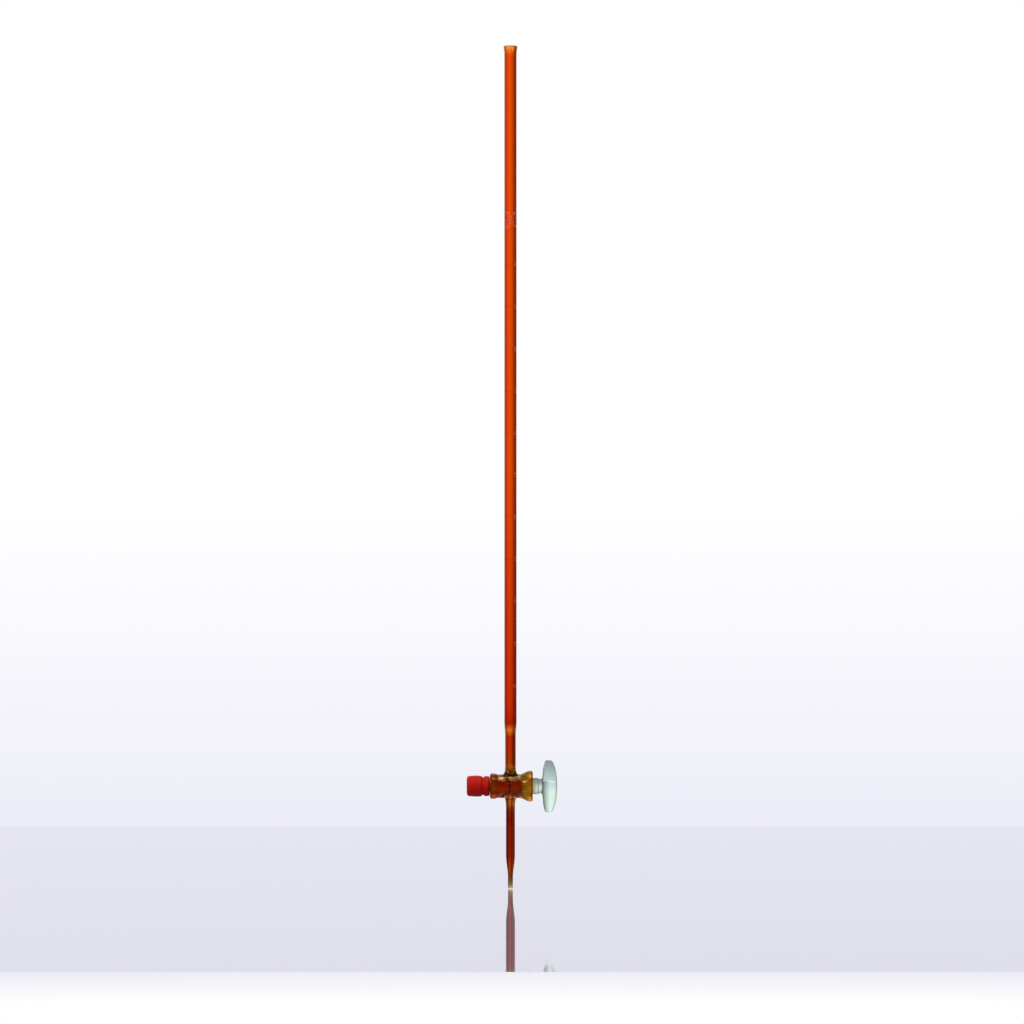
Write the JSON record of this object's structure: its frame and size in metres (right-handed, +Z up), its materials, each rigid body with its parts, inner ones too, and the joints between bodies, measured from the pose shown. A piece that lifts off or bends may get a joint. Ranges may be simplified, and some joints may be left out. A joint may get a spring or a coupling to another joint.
{
  "type": "glass burette",
  "caption": "Slim amber glass burette: long graduated tube with flared mouth, straight-bore glass stopcock with T-handle key, rubber retaining cap and drawn delivery jet.",
  "frame": {"origin": "centre of the jet's outlet, at the lowest point of the burette", "axes": "+Z up along the tube to its mouth, +X along the stopcock's axis to the key's handle; -Y is the front"},
  "size_m": [0.0647, 0.022, 0.6],
  "materials": {
    "amber_glass": "amber-stained borosilicate glass, fire polished",
    "clear_glass": "clear pressed glass with a faint green cast, ground matt on the taper",
    "red_rubber": "moulded red rubber, satin",
    "scale_enamel": "thin fired-on brown stain",
    "figure_enamel": "thin fired-on pale enamel"
  },
  "bodies": {
    "burette": {"measuring_tube": "amber_glass", "inlet_tube": "amber_glass", "stopcock_barrel": "amber_glass", "delivery_jet": "amber_glass", "ring_mark_00": "scale_enamel", "numeral_00": "figure_enamel", "ring_mark_01": "scale_enamel", "numeral_01": "figure_enamel", "ring_mark_02": "scale_enamel", "numeral_02": "figure_enamel", "ring_mark_03": "scale_enamel", "numeral_03": "figure_enamel", "ring_mark_04": "scale_enamel", "numeral_04": "figure_enamel", "ring_mark_05": "scale_enamel", "numeral_05": "figure_enamel", "ring_mark_06": "scale_enamel", "numeral_06": "figure_enamel", "ring_mark_07": "scale_enamel", "numeral_07": "figure_enamel", "ring_mark_08": "scale_enamel", "numeral_08": "figure_enamel", "ring_mark_09": "scale_enamel", "numeral_09": "figure_enamel", "ring_mark_10": "scale_enamel", "numeral_10": "figure_enamel", "tenth_marks": "scale_enamel", "twentieth_marks": "scale_enamel", "legend_capacity": "figure_enamel", "legend_division": "figure_enamel", "legend_tolerance": "figure_enamel", "legend_temperature": "figure_enamel"},
    "key": {"stopcock_key": "clear_glass"},
    "cap": {"retaining_cap": "red_rubber"}
  },
  "joints": [
    {"name": "key_turn", "type": "hinge", "parent": "burette", "child": "key", "pos_m": [0, 0, 0.0727], "axis": [1, 0, 0], "continuous": true},
    {"name": "cap_pull", "type": "slide", "parent": "key", "child": "cap", "axis": [-1, 0, 0], "range_m": [0, 0.014]}
  ]
}
